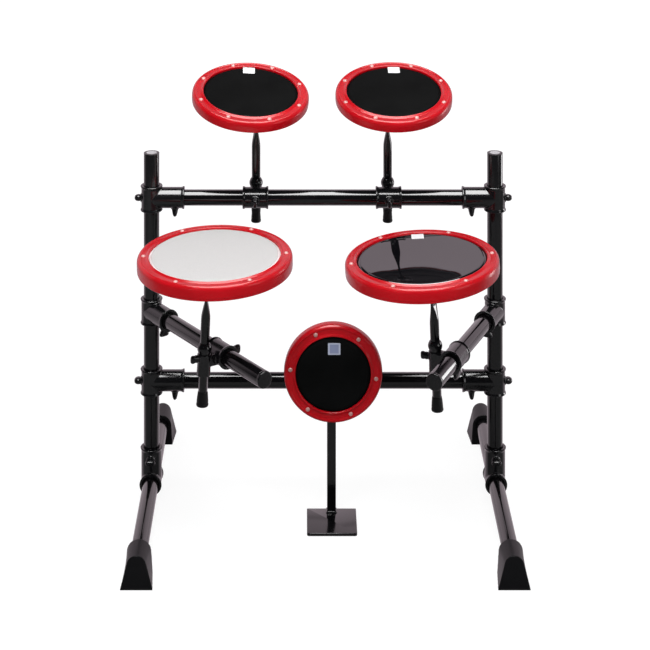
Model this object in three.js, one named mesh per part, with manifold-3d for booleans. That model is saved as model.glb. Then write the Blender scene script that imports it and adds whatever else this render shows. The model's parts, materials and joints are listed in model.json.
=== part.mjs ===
// A five-piece practice drum-pad set on a tubular rack.
// Units are millimetres. +X is the player's right, +Y is away from the player and +Z is up.
// The origin is on the floor, under the middle of the whole set's bounding box.

import * as THREE from 'three';
import { mergeVertices } from 'three/addons/utils/BufferGeometryUtils.js';
import Module from 'manifold-3d';

const wasm = await Module();
wasm.setup();

const DEG = Math.PI / 180;

// Rack tubing: one diameter throughout.
const TUBE_R = 16;
const TUBE_WALL = 2;
const TUBE_SIDES = 24;
const UPRIGHT_X = 355;
const UPRIGHT_Y = 43;
const UPRIGHT_TOP = 715;
const TOP_BAR_Z = 623;
const ARM_Z = 390;
const LOWER_BAR_Z = 245;
const LEG_Z = 41;
const LEG_FRONT_Y = -332;
const LEG_REAR_Y = 290;
const ARM_REACH = { left: 396, right: 358 };
const ARM_YAW = { left: -53.1, right: -114.5 };

// Moulded T-clamps: a collar that runs on one tube and a stem that holds the end of another.
const CLAMP_SIDES = 20;
const CLAMP_BORE_R = TUBE_R + 0.75;
const CLAMP_R = 21;
const CLAMP_RIM_R = 22.5;
const CLAMP_RIM = 5;
const COLLAR_LENGTH = 52;
const STEM_REACH = 68;
const SOCKET_START = CLAMP_BORE_R + 4.8;
const TUBE_END_GAP = 1.5;

// Rubber boots on the leg ends: domed over the tube, flared towards the floor and the outer end.
const BOOT_HEIGHT = 64.5;
const BOOT_DEPTH = 60;
const BOOT_END = { foot: 31, dome: 18.5 };
const BOOT_MOUTH = { foot: 26, dome: 23.5 };
const BOOT_WALL = 12;
const BOOT_ARC_STEPS = 14;

// Pad rods: a round tube with a rubber tip below and a flattened, drilled end above.
const ROD_R = 9;
const ROD_SIDES = 20;
const ROD_BORE_R = ROD_R + 0.5;
const ROD_OFFSET = 40;
const ROD_SLEEVE_R = 13.5;
const ROD_SLEEVE_LOW = -34;
const ROD_SLEEVE_HIGH = 8;
const ROD_CLAMP_LENGTH = 53;
const COLLAR_R = 14;
const COLLAR_HEIGHT = 20;
const TIP_LENGTH = 28;
const TIP_R = 11.8;
const BLADE_LENGTH = 42;
const TAPER_LENGTH = 38;
const BLADE_THICKNESS = 4.6;
const BLADE_WIDTH = 22;

// Tilt joint between the rod and the pad.
const PIVOT_DROP = 12;
const PIVOT_R = 2.7;
const PIVOT_HOLE_R = 3.2;
const EAR_GAP = 0.8;
const EAR_THICKNESS = 2.5;
const YOKE_PLATE = 2.5;

// Pads, measured along the pad's own axis; the underside of the base is at 0 and the hoop's top at depth.
const PAD_SIDES = 40;
const HOOP_WIDTH = 23.5;
const HOOP_LIFT = 2;
const HOOP_FLANGE = 6;
const HOOP_WALL = 5;
const HEAD_THICKNESS = 2.6;
const HEAD_REBATE = 7;
const SCREW_HOLE_R = 2.6;
const FIT = 0.4;

// Bass pad tower.
const BASS_X = 19;
const BASS_FACE_Y = -95;
const BASS_Z = 298;
const POST_X = 16;
const POST_Y = -58.5;
const POST_SIDE = 18;
const POST_WALL = 2;
const POST_TOP = 338;
const PLATE_WIDTH = 100;
const PLATE_DEPTH = 95;
const PLATE_THICKNESS = 6;
const PLATE_REAR_Y = -49;

const finish = {
  enamel: new THREE.MeshStandardMaterial({ color: 0x101012, roughness: 0.2, metalness: 0.4 }),
  moulding: new THREE.MeshStandardMaterial({ color: 0x17171a, roughness: 0.42, metalness: 0 }),
  hoop: new THREE.MeshStandardMaterial({ color: 0xc40f22, roughness: 0.22, metalness: 0 }),
  base: new THREE.MeshStandardMaterial({ color: 0x1b1b1d, roughness: 0.7, metalness: 0 }),
  darkHead: new THREE.MeshStandardMaterial({ color: 0x0e0f10, roughness: 0.75, metalness: 0 }),
  coatedHead: new THREE.MeshStandardMaterial({ color: 0xd8d8d5, roughness: 0.85, metalness: 0 }),
  mirrorHead: new THREE.MeshStandardMaterial({ color: 0x0a0a0c, roughness: 0.06, metalness: 0 }),
  rubber: new THREE.MeshStandardMaterial({ color: 0x141415, roughness: 0.9, metalness: 0 }),
};

// The four pads on rods. Angles are in degrees; yaw turns the tilt axis from +X about +Z, tilt
// lowers the player's side, roll lifts the right side when negative, and shift is how far the
// pad's centre lies from its rod along the tilt axis.
const PADS = {
  tom_left: {
    radius: 122, depth: 27, screws: 8, screwAngle: 22.5, head: 'darkHead',
    height: 173.5, drop: 64, yaw: 13.8, tilt: 15, roll: 0, shift: -13.4,
  },
  tom_right: {
    radius: 122, depth: 27, screws: 8, screwAngle: 22.5, head: 'darkHead',
    height: 173.5, drop: 64, yaw: 0, tilt: 15, roll: 0, shift: 12.5,
  },
  snare: {
    radius: 151, depth: 31.5, screws: 6, screwAngle: 1, head: 'coatedHead',
    height: 154.6, drop: 92, yaw: 0, tilt: 3.5, roll: -3.1, shift: 15.2,
  },
  floor: {
    radius: 151, depth: 31.5, screws: 6, screwAngle: 3, head: 'mirrorHead',
    height: 140.4, drop: 108, yaw: -30, tilt: 2.2, roll: 0, shift: -21.5,
  },
};
const BASS = { radius: 99.5, depth: 27, screws: 6, screwAngle: -6, head: 'darkHead' };

// Where each rod clamp sits: along the top bar, or along an arm, and how far the rod leans.
const TOM_X = { tom_left: -140, tom_right: 135 };
const ARM_STATIONS = {
  left: { pad: 'snare', along: 256, lean: -2.75 },
  right: { pad: 'floor', along: 247, lean: 2.2 },
};

// ---- geometry helpers ----

function signedVolume(position, index) {
  const [a, b, c] = [new THREE.Vector3(), new THREE.Vector3(), new THREE.Vector3()];
  let total = 0;
  for (let i = 0; i < index.length; i += 3) {
    a.fromBufferAttribute(position, index[i]);
    b.fromBufferAttribute(position, index[i + 1]);
    c.fromBufferAttribute(position, index[i + 2]);
    total += a.dot(b.cross(c)) / 6;
  }
  return total;
}

// Positions only, coincident vertices merged, collapsed triangles dropped, faces turned outward.
function weld(geometry) {
  const bare = new THREE.BufferGeometry();
  bare.setAttribute('position', geometry.getAttribute('position').clone());
  bare.setIndex(geometry.index);
  const merged = mergeVertices(bare, 1e-4);
  const source = merged.index.array;
  const kept = [];
  for (let i = 0; i < source.length; i += 3) {
    const [a, b, c] = [source[i], source[i + 1], source[i + 2]];
    if (a !== b && b !== c && c !== a) kept.push(a, b, c);
  }
  if (signedVolume(merged.attributes.position, kept) < 0) kept.reverse();
  merged.setIndex(kept);
  return merged;
}

function toManifold(geometry) {
  const welded = weld(geometry);
  return new wasm.Manifold(new wasm.Mesh({
    numProp: 3,
    vertProperties: Float32Array.from(welded.attributes.position.array),
    triVerts: Uint32Array.from(welded.index.array),
  }));
}

function fromManifold(solid) {
  const { vertProperties, triVerts } = solid.getMesh();
  const geometry = new THREE.BufferGeometry();
  geometry.setAttribute('position', new THREE.BufferAttribute(Float32Array.from(vertProperties), 3));
  geometry.setIndex(Array.from(triVerts));
  return geometry;
}

function union(...geometries) {
  return fromManifold(geometries.map(toManifold).reduce((sum, next) => sum.add(next)));
}

function subtract(body, ...tools) {
  return fromManifold(tools.map(toManifold).reduce((rest, tool) => rest.subtract(tool), toManifold(body)));
}

// A solid of revolution about Z from [radius, z] pairs.
function turned(profile, sides) {
  const points = profile.map(([r, z]) => new THREE.Vector2(r, z));
  return new THREE.LatheGeometry(points, sides).rotateX(90 * DEG);
}

function rod(radius, low, high, sides) {
  return turned([[0, low], [radius, low], [radius, high], [0, high]], sides);
}

function pipe(radius, bore, low, high, sides) {
  return turned([[bore, low], [radius, low], [radius, high], [bore, high], [bore, low]], sides);
}

const alongX = (geometry) => geometry.rotateY(90 * DEG);
const alongY = (geometry) => geometry.rotateX(-90 * DEG);

function box(x0, x1, y0, y1, z0, z1) {
  return new THREE.BoxGeometry(x1 - x0, y1 - y0, z1 - z0)
    .translate((x0 + x1) / 2, (y0 + y1) / 2, (z0 + z1) / 2);
}

// An outline in X and Y, raised by thickness and centred on z = 0.
function slab(outline, thickness) {
  const shape = new THREE.Shape(outline.map(([x, y]) => new THREE.Vector2(x, y)));
  return new THREE.ExtrudeGeometry(shape, { depth: thickness, bevelEnabled: false })
    .translate(0, 0, -thickness / 2);
}

// A closed skin over rings of [x, y, z] points that all have the same count.
function skinned(rings) {
  const sides = rings[0].length;
  const top = rings.length - 1;
  const average = (ring, axis) => ring.reduce((sum, point) => sum + point[axis], 0) / sides;
  const middle = (ring) => [0, 1, 2].map((axis) => average(ring, axis));
  const positions = [...rings.flat(2), ...middle(rings[0]), ...middle(rings[top])];
  const [lowCentre, highCentre] = [rings.length * sides, rings.length * sides + 1];
  const index = [];
  for (let i = 0; i < sides; i += 1) {
    const next = (i + 1) % sides;
    for (let k = 0; k < top; k += 1) {
      const [a, b] = [k * sides + i, k * sides + next];
      index.push(a, b, b + sides, a, b + sides, a + sides);
    }
    index.push(lowCentre, next, i);
    index.push(highCentre, top * sides + i, top * sides + next);
  }
  const geometry = new THREE.BufferGeometry();
  geometry.setAttribute('position', new THREE.Float32BufferAttribute(positions, 3));
  geometry.setIndex(index);
  return geometry;
}

// A skin over a stack of cross-sections {z, rx, ry, power}; power 2 is an ellipse and more is flatter.
function lofted(sections, sides) {
  const bent = (value, power) => Math.sign(value) * Math.abs(value) ** (2 / power);
  return skinned(sections.map(({ z, rx, ry, power }) => Array.from({ length: sides }, (_, i) => {
    const angle = (i / sides) * 2 * Math.PI;
    return [rx * bent(Math.cos(angle), power), ry * bent(Math.sin(angle), power), z];
  })));
}

function piece(name, geometry, material) {
  const flat = weld(geometry).toNonIndexed();
  flat.computeVertexNormals();
  const mesh = new THREE.Mesh(flat, material);
  mesh.name = name;
  return mesh;
}

function groupAt(x, y, z) {
  const group = new THREE.Group();
  group.position.set(x, y, z);
  return group;
}

// ---- rack ----

function sleeveProfile(low, high, rimLow, rimHigh) {
  const rim = (z, sign) => [
    [CLAMP_RIM_R, z],
    [CLAMP_RIM_R, z + sign * CLAMP_RIM * 0.6],
    [CLAMP_R, z + sign * CLAMP_RIM],
  ];
  return [
    [0, low],
    ...(rimLow ? rim(low, 1) : [[CLAMP_R, low]]),
    ...(rimHigh ? rim(high, -1).reverse() : [[CLAMP_R, high]]),
    [0, high],
  ];
}

// The collar runs along Z and the stem points to +X.
function teeClamp() {
  const half = COLLAR_LENGTH / 2;
  const collar = turned(sleeveProfile(-half, half, true, true), CLAMP_SIDES);
  const stem = alongX(turned(sleeveProfile(0, STEM_REACH, false, true), CLAMP_SIDES));
  const collarBore = rod(CLAMP_BORE_R, -half - 1, half + 1, CLAMP_SIDES);
  const socket = alongX(rod(CLAMP_BORE_R, SOCKET_START, STEM_REACH + 1, CLAMP_SIDES));
  return subtract(union(collar, stem), collarBore, socket);
}

// A screw with a flat two-lobed grip, its axis on X, the grip at +X and the seat at x = 0.
function wingScrew(shankR, shankLength, reach, span) {
  const thickness = 4;
  const shank = alongX(rod(shankR, -shankLength, 1, 12));
  const hub = alongX(turned([[0, 0], [5, 0], [4.2, reach * 0.55], [0, reach * 0.55]], 12));
  const wing = slab([
    [2.5, -4], [reach * 0.55, -span / 2], [reach, -span / 2 + 1.5], [reach - 1, -2.5],
    [reach - 1, 2.5], [reach, span / 2 - 1.5], [reach * 0.55, span / 2], [2.5, 4],
  ], thickness);
  return union(shank, hub, wing);
}

function straightTube(name, low, high) {
  return piece(name, pipe(TUBE_R, TUBE_R - TUBE_WALL, low, high, TUBE_SIDES), finish.enamel);
}

function crossBar(name, z) {
  const half = UPRIGHT_X - SOCKET_START - TUBE_END_GAP;
  const bar = straightTube(name, -half, half);
  bar.rotation.y = 90 * DEG;
  bar.position.z = z;
  return bar;
}

function clampOn(name, x, y, z, turn) {
  const clamp = piece(name, teeClamp(), finish.moulding);
  clamp.position.set(x, y, z);
  clamp.rotation.set(...turn);
  return clamp;
}

// The collar side of each top clamp is drilled for its wing screw.
function topClamp(name, side) {
  const hole = alongX(rod(PIVOT_HOLE_R, -CLAMP_R - 2, -CLAMP_BORE_R + 2, 12));
  const clamp = piece(name, subtract(teeClamp(), hole), finish.moulding);
  clamp.position.set(side * UPRIGHT_X, 0, TOP_BAR_Z);
  clamp.rotation.z = side < 0 ? 0 : 180 * DEG;
  return clamp;
}

function topWingScrew(name, side) {
  const seat = CLAMP_R + 0.4;
  const shank = seat - CLAMP_BORE_R - 0.2;
  const screw = piece(name, wingScrew(PIVOT_R, shank, 11, 20), finish.moulding);
  screw.position.set(side * (UPRIGHT_X + seat), 0, TOP_BAR_Z);
  screw.rotation.set(90 * DEG, side < 0 ? 180 * DEG : 0, 0);
  return screw;
}

// A boot's outline seen along the leg: flat on the floor, straight sides that meet a round dome.
function bootOutline({ foot, dome }, y) {
  const centre = BOOT_HEIGHT - dome;
  const start = Math.acos(dome / Math.hypot(foot, centre)) - Math.atan2(centre, foot);
  const step = (180 * DEG - 2 * start) / BOOT_ARC_STEPS;
  const arc = Array.from({ length: BOOT_ARC_STEPS + 1 }, (_, i) => {
    const angle = start + i * step;
    return [dome * Math.cos(angle), y, centre + dome * Math.sin(angle)];
  });
  return [[-foot, y, 0], [foot, y, 0], ...arc];
}

// The boot has a blind socket for the tube, opening to +Y.
function boot() {
  const rings = [bootOutline(BOOT_END, 0), bootOutline(BOOT_MOUTH, BOOT_DEPTH)];
  const socket = alongY(rod(CLAMP_BORE_R, BOOT_WALL, BOOT_DEPTH + 1, CLAMP_SIDES)).translate(0, 0, LEG_Z);
  return subtract(skinned(rings), socket);
}

function leg(name, side) {
  const group = groupAt(side * UPRIGHT_X, 0, 0);
  const tube = straightTube(`leg_tube_${name}`, LEG_FRONT_Y + 14, LEG_REAR_Y - 14);
  tube.rotation.x = -90 * DEG;
  tube.position.z = LEG_Z;
  const front = piece(`foot_front_${name}`, boot(), finish.rubber);
  front.position.y = LEG_FRONT_Y;
  const rear = piece(`foot_rear_${name}`, boot(), finish.rubber);
  rear.position.y = LEG_REAR_Y;
  rear.rotation.z = 180 * DEG;
  const clamp = clampOn(`clamp_leg_${name}`, 0, 0, LEG_Z, [90 * DEG, 0, 90 * DEG]);
  group.add(tube, front, rear, clamp);
  return group;
}

function rack() {
  const group = new THREE.Group();
  const uprightFoot = LEG_Z + SOCKET_START + TUBE_END_GAP;
  for (const [name, side] of [['left', -1], ['right', 1]]) {
    const upright = straightTube(`upright_${name}`, uprightFoot, UPRIGHT_TOP);
    upright.position.x = side * UPRIGHT_X;
    const inward = [0, 0, side < 0 ? 0 : 180 * DEG];
    group.add(
      upright,
      topClamp(`clamp_top_${name}`, side),
      topWingScrew(`wing_screw_top_${name}`, side),
      clampOn(`clamp_lower_${name}`, side * UPRIGHT_X, 0, LOWER_BAR_Z, inward),
      leg(name, side),
    );
  }
  group.add(crossBar('top_bar', TOP_BAR_Z), crossBar('lower_bar', LOWER_BAR_Z));
  return group;
}

// ---- rods ----

// The sleeve runs along X; the rod passes through the short sleeve at y = -ROD_OFFSET.
function rodClamp() {
  const half = ROD_CLAMP_LENGTH / 2;
  const sleeve = alongX(turned(sleeveProfile(-half, half, true, true), CLAMP_SIDES));
  const upright = rod(ROD_SLEEVE_R, ROD_SLEEVE_LOW, ROD_SLEEVE_HIGH, ROD_SIDES)
    .translate(0, -ROD_OFFSET, 0);
  const web = box(-12, 12, -ROD_OFFSET, -CLAMP_R + 6, -16, ROD_SLEEVE_HIGH - 2);
  const sleeveBore = alongX(rod(CLAMP_BORE_R, -half - 1, half + 1, CLAMP_SIDES));
  const rodBore = rod(ROD_BORE_R, ROD_SLEEVE_LOW - 1, ROD_SLEEVE_HIGH + 1, ROD_SIDES)
    .translate(0, -ROD_OFFSET, 0);
  return subtract(union(sleeve, upright, web), sleeveBore, rodBore);
}

function rodCollar() {
  const low = ROD_SLEEVE_HIGH + FIT;
  const high = low + COLLAR_HEIGHT;
  return turned([
    [ROD_BORE_R, low], [COLLAR_R - 3, low], [COLLAR_R, low + 6], [COLLAR_R, high - 8],
    [COLLAR_R - 4, high], [ROD_BORE_R, high], [ROD_BORE_R, low],
  ], ROD_SIDES);
}

// The rod's axis is Z, with z = 0 level with the clamp; the blade's flat faces look along X.
function padRod(pad) {
  const round = (z, r) => ({ z, rx: r, ry: r, power: 2 });
  const blade = (z, ry) => ({ z, rx: BLADE_THICKNESS / 2, ry, power: 5 });
  const low = -pad.drop;
  const bladeLow = pad.height - BLADE_LENGTH;
  const half = BLADE_WIDTH / 2;
  const body = lofted([
    round(low, TIP_R - 1.5), round(low + 2, TIP_R), round(low + TIP_LENGTH - 1, ROD_R + 1),
    round(low + TIP_LENGTH, ROD_R), round(bladeLow - TAPER_LENGTH, ROD_R),
    { z: bladeLow - TAPER_LENGTH / 2, rx: 5.6, ry: (ROD_R + half) / 2, power: 2.6 },
    blade(bladeLow, half), blade(pad.height - 4, half), blade(pad.height + 4, half * 0.78),
    blade(pad.height + 8.5, half * 0.3),
  ], ROD_SIDES);
  const hole = alongX(rod(PIVOT_HOLE_R, -half, half, 12)).translate(0, 0, pad.height);
  return subtract(body, hole);
}

// ---- pads ----

// Two ears straddle the blade below a plate screwed to the pad; the pivot is at the origin.
function yoke() {
  const inner = BLADE_THICKNESS / 2 + EAR_GAP;
  const outer = inner + EAR_THICKNESS;
  const ear = slab([
    [-7, 0], [-6, -5], [-2.5, -7.5], [2.5, -7.5], [6, -5], [7, 0],
    [9, PIVOT_DROP + 1], [-9, PIVOT_DROP + 1],
  ], EAR_THICKNESS).rotateX(90 * DEG).rotateZ(90 * DEG);
  const plate = box(-22, 22, -14, 14, PIVOT_DROP, PIVOT_DROP + YOKE_PLATE);
  const hole = alongX(rod(PIVOT_HOLE_R, -outer - 1, outer + 1, 12));
  const offset = (inner + outer) / 2;
  return subtract(union(plate, ear.clone().translate(-offset, 0, 0), ear.translate(offset, 0, 0)), hole);
}

// The tilt screw runs right through both ears and the blade, with its grip on the +X side.
function tiltScrew() {
  const outer = BLADE_THICKNESS / 2 + EAR_GAP + EAR_THICKNESS + FIT;
  const grip = wingScrew(PIVOT_R, 2 * outer + 1, 15, 15).translate(outer, 0, 0);
  const head = alongX(rod(4.8, -outer - 3.2, -outer, 6));
  return union(grip, head);
}

function padBase({ radius, depth }) {
  const side = radius - HOOP_WALL - FIT;
  const high = depth - HOOP_FLANGE - HEAD_THICKNESS - 2 * FIT;
  return turned([[0, 0], [side - 8, 0], [side, 4], [side, high], [0, high]], PAD_SIDES);
}

// The flange carries a shallow groove between an inner bead and the rounded outer shoulder.
function hoop(pad) {
  const { radius, depth } = pad;
  const inner = radius - HOOP_WIDTH;
  const under = depth - HOOP_FLANGE;
  const ring = turned([
    [radius - HOOP_WALL, HOOP_LIFT], [radius - 1, HOOP_LIFT], [radius, HOOP_LIFT + 2],
    [radius, depth - 6], [radius - 3, depth - 1.2], [radius - 8, depth],
    [inner + 6, depth - 1.4], [inner + 2, depth - 0.4], [inner, depth - 2.2],
    [inner, under], [radius - HOOP_WALL, under], [radius - HOOP_WALL, HOOP_LIFT],
  ], PAD_SIDES);
  const holes = [];
  for (let i = 0; i < pad.screws; i += 1) {
    const angle = (pad.screwAngle - (pad.yaw ?? 0) + (360 * i) / pad.screws) * DEG;
    const reach = radius - HOOP_WIDTH / 2;
    holes.push(rod(SCREW_HOLE_R, under - 1, depth + 1, 8)
      .translate(reach * Math.cos(angle), reach * Math.sin(angle), 0));
  }
  return subtract(ring, ...holes);
}

// The head's crown stands up inside the hoop and its edge is held under the hoop's flange.
function head({ radius, depth }) {
  const inner = radius - HOOP_WIDTH;
  const crown = depth - 3;
  const edge = depth - HOOP_FLANGE - FIT;
  return turned([
    [0, edge - HEAD_THICKNESS], [radius - HEAD_REBATE, edge - HEAD_THICKNESS],
    [radius - HEAD_REBATE, edge], [inner - 1, edge], [inner - 3, crown], [0, crown],
  ], PAD_SIDES);
}

function padBody(name, pad) {
  const group = new THREE.Group();
  group.add(
    piece(`base_${name}`, padBase(pad), finish.base),
    piece(`hoop_${name}`, hoop(pad), finish.hoop),
    piece(`head_${name}`, head(pad), finish[pad.head]),
  );
  return group;
}

// Clamp, collar, rod and pad; the group's X runs along the tube that the clamp is on.
function station(name, heading, lean) {
  const pad = PADS[name];
  const group = new THREE.Group();
  group.rotation.set(lean * DEG, 0, 0);
  const swivel = groupAt(0, -ROD_OFFSET, 0);
  swivel.rotation.z = (pad.yaw - heading) * DEG;
  const pivot = groupAt(0, 0, pad.height);
  pivot.rotation.set(pad.tilt * DEG, pad.roll * DEG, 0, 'YXZ');
  const body = padBody(name, pad);
  body.position.set(pad.shift, 0, PIVOT_DROP + YOKE_PLATE + FIT);
  pivot.add(
    piece(`yoke_${name}`, yoke(), finish.enamel),
    piece(`tilt_screw_${name}`, tiltScrew(), finish.moulding),
    body,
  );
  swivel.add(
    piece(`rod_collar_${name}`, rodCollar(), finish.moulding),
    piece(`rod_${name}`, padRod(pad), finish.enamel),
    pivot,
  );
  group.add(piece(`rod_clamp_${name}`, rodClamp(), finish.moulding), swivel);
  return group;
}

function tomStation(name) {
  const group = groupAt(TOM_X[name], 0, TOP_BAR_Z);
  group.rotation.z = 180 * DEG;
  group.add(station(name, 180, 0));
  return group;
}

function arm(name, side) {
  const { pad, along, lean } = ARM_STATIONS[name];
  const group = groupAt(side * UPRIGHT_X, 0, ARM_Z);
  group.rotation.z = ARM_YAW[name] * DEG;
  const tube = straightTube(`arm_tube_${name}`, SOCKET_START + TUBE_END_GAP, ARM_REACH[name]);
  tube.rotation.y = 90 * DEG;
  const rest = station(pad, ARM_YAW[name], lean);
  rest.position.x = along;
  group.add(clampOn(`clamp_arm_${name}`, 0, 0, 0, [0, 0, 0]), tube, rest);
  return group;
}

// ---- bass pad tower ----

function bassPost() {
  const [outer, inner] = [POST_SIDE / 2, POST_SIDE / 2 - POST_WALL];
  const [low, high] = [PLATE_THICKNESS + FIT, POST_TOP];
  return subtract(
    box(-outer, outer, -outer, outer, low, high),
    box(-inner, inner, -inner, inner, low - 1, high + 1),
  ).translate(POST_X, POST_Y, 0);
}

function bassPlate() {
  const [half, cut] = [PLATE_WIDTH / 2, 6];
  const front = PLATE_REAR_Y - PLATE_DEPTH;
  return slab([
    [-half, PLATE_REAR_Y], [-half, front + cut], [cut - half, front], [half - cut, front],
    [half, front + cut], [half, PLATE_REAR_Y],
  ], PLATE_THICKNESS).translate(POST_X, 0, PLATE_THICKNESS / 2);
}

// A sleeve on the lower bar with an open saddle that holds the post from behind.
function bassBarClamp() {
  const half = COLLAR_LENGTH / 2;
  const sleeve = alongX(turned(sleeveProfile(-half, half, true, true), CLAMP_SIDES));
  const front = POST_Y - POST_SIDE / 2 + 1.5;
  const saddle = box(-15, 15, front, -CLAMP_R + 6, -16, 16);
  const channel = POST_SIDE / 2 + FIT;
  return subtract(
    union(sleeve, saddle),
    alongX(rod(CLAMP_BORE_R, -half - 1, half + 1, CLAMP_SIDES)),
    box(-channel, channel, front - 1, POST_Y + channel, -17, 17),
  ).translate(POST_X, 0, LOWER_BAR_Z);
}

function bassTower() {
  const group = new THREE.Group();
  const pad = padBody('bass', BASS);
  pad.position.set(BASS_X, BASS_FACE_Y + BASS.depth, BASS_Z);
  pad.rotation.x = 90 * DEG;
  group.add(
    piece('bass_post', bassPost(), finish.enamel),
    piece('bass_plate', bassPlate(), finish.enamel),
    piece('bass_bar_clamp', bassBarClamp(), finish.moulding),
    pad,
  );
  return group;
}

// Everything above is placed from the line between the uprights, which stands behind the origin.
const set = groupAt(0, UPRIGHT_Y, 0);
set.name = 'practice_pad_set';
set.add(
  rack(), tomStation('tom_left'), tomStation('tom_right'),
  arm('left', -1), arm('right', 1), bassTower(),
);

export default set;
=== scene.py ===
"""Looks of a five-piece practice drum-pad set on a tubular rack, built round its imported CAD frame.

Shapes are drawn in millimetres in their own local axes, then placed by frames that come from the
CAD nodes' boxes and the joints of the record.
"""

import json
import math

import bmesh
import bpy
import numpy as np
from mathutils import Matrix, Vector


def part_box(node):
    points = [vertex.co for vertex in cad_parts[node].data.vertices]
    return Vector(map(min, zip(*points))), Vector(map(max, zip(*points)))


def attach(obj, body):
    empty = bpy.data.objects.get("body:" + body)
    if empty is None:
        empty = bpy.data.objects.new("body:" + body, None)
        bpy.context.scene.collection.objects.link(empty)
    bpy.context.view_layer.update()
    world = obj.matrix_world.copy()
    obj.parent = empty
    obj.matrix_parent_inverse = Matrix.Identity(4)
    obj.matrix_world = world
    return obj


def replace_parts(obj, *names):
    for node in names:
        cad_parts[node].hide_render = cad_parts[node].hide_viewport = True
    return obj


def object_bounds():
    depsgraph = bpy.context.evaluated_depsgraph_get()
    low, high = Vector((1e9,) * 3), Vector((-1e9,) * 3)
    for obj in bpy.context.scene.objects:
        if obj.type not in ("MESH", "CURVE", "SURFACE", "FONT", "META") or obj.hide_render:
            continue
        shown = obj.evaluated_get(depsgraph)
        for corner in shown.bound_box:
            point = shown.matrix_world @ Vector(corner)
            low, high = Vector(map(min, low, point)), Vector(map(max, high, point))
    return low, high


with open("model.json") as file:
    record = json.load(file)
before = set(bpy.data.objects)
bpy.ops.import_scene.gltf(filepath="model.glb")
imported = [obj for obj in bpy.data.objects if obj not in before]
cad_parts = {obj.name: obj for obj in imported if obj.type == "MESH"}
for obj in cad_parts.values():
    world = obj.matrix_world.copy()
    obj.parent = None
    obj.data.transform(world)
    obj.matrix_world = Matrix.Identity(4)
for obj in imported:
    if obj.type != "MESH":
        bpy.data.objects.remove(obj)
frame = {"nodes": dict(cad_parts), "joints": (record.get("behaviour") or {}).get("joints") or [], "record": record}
cad_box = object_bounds()

MM = 0.001
X, Y, Z = Vector((1, 0, 0)), Vector((0, 1, 0)), Vector((0, 0, 1))
SIDES = {"left": -1, "right": 1}

# Rack, as in the CAD source.
TUBE_R = 16
TUBE_WALL = 2
CLAMP_BORE_R = 16.2
CLAMP_R = 21
BOSS_R = 8.5
BOSS_ROOT = CLAMP_R - 4
STEM_BOSS = CLAMP_R + 2.2
BACK_BOSS = CLAMP_R + 1.8
LOCK_BOSS = CLAMP_R + 2.4
RIM_R = 22.8
COLLAR_HALF = 26
STEM_REACH = 68
BOLT_REACH = 48.5
ROD_CLAMP_HALF = 26.5

# Rods and their clamps; each pad's rod lock level and how far its rubber tip flares.
ROD_LOCK_LEVEL = {"tom_left": -13, "tom_right": -13, "snare": 1, "floor": -4}
TIP_FLARE = {"tom_left": 10.4, "tom_right": 10.4, "snare": 11.9, "floor": 11.9}
ROD_R = 9
ROD_OFFSET = 40
ROD_SLEEVE_R = 13.5
ROD_SLEEVE_LOW = -34
ROD_SLEEVE_HIGH = 8
COLLAR_R = 14
COLLAR_HEIGHT = 20
TIP_LENGTH = 28
BLADE_HALF = 11
BLADE_LENGTH = 42
TAPER_LENGTH = 38
PIVOT_DROP = 12
EAR_THICKNESS = 2.5
EAR_INNER = 3.1

# Pads, measured along their own axis from the underside of the base.
HOOP_WIDTH = 23.5
HOOP_WALL = 5
SCREW_CIRCLE = 12.5
SCREW_DEPTH = 3.2
HEAD_DROP = 1.65

# Each pad's number of hoop screws and the angle of the first, in degrees from the room's X.
SCREWS = {
    "tom_left": (8, 22.5),
    "tom_right": (8, 22.5),
    "snare": (6, 1),
    "floor": (6, 3),
    "bass": (6, -6),
}

# Each sticker's place: across from the head's middle and in from its far edge.
LABEL_SIZE = (25, 23.5)
LABEL_BORDER = 3.2
LABELS = {"tom_left": (-6.5, 15.5), "tom_right": (4, 15.5), "floor": (-1, 19), "bass": (2, 24)}

# Bass pad tower.
POST_HALF = 9

# Rubber boots: (half width at the floor, dome radius) at the closed end and at the mouth.
BOOT_HEIGHT = 64.5
BOOT_DEPTH = 60
BOOT_WALL = 12
BOOT_END = (31, 18.5)
BOOT_MOUTH = (26, 23.5)

# Camera.
CAMERA_PLACE = Vector((-0.0418, -3.545, 1.858))
CAMERA_LENS = 96.1
CAMERA_SHIFT = (0.0338, -1.115)


# ---- record lookups ----

record = frame["record"]
joints = {joint["name"]: joint for joint in frame["joints"]}
slot_of = {part["node"]: part["material_slot"] for part in record["subparts"]}
body_of = {node: body for body, nodes in record["behaviour"]["bodies"].items() for node in nodes}


def centre(node):
    low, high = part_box(node)
    return (low + high) / 2


def joint_place(name):
    return Vector(joints[name]["pos_m"])


def joint_axis(name):
    return Vector(joints[name]["axis"]).normalized()


def axes_at(origin, x, z):
    """A frame at origin with its Z on z and its X as near to x as it can be."""
    z = z.normalized()
    y = z.cross(x).normalized()
    x = y.cross(z)
    return Matrix.Translation(origin) @ Matrix((x, y, z)).transposed().to_4x4()


def shift(x=0.0, y=0.0, z=0.0):
    return Matrix.Translation(Vector((x, y, z)) * MM)


def turn(degrees, axis):
    return Matrix.Rotation(math.radians(degrees), 4, axis)


# ---- shapes ----


def rounded(corners, steps=4):
    """An outline from (x, y, cut) corners, each corner cut back by that much and curved."""
    points = []
    for i, (x, y, cut) in enumerate(corners):
        corner = Vector((x, y))
        if not cut:
            points.append(corner)
            continue
        before = Vector(corners[i - 1][:2]) - corner
        after = Vector(corners[(i + 1) % len(corners)][:2]) - corner
        start = corner + before.normalized() * cut
        end = corner + after.normalized() * cut
        for k in range(steps + 1):
            t = k / steps
            points.append(start.lerp(corner, t).lerp(corner.lerp(end, t), t))
    return points


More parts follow.
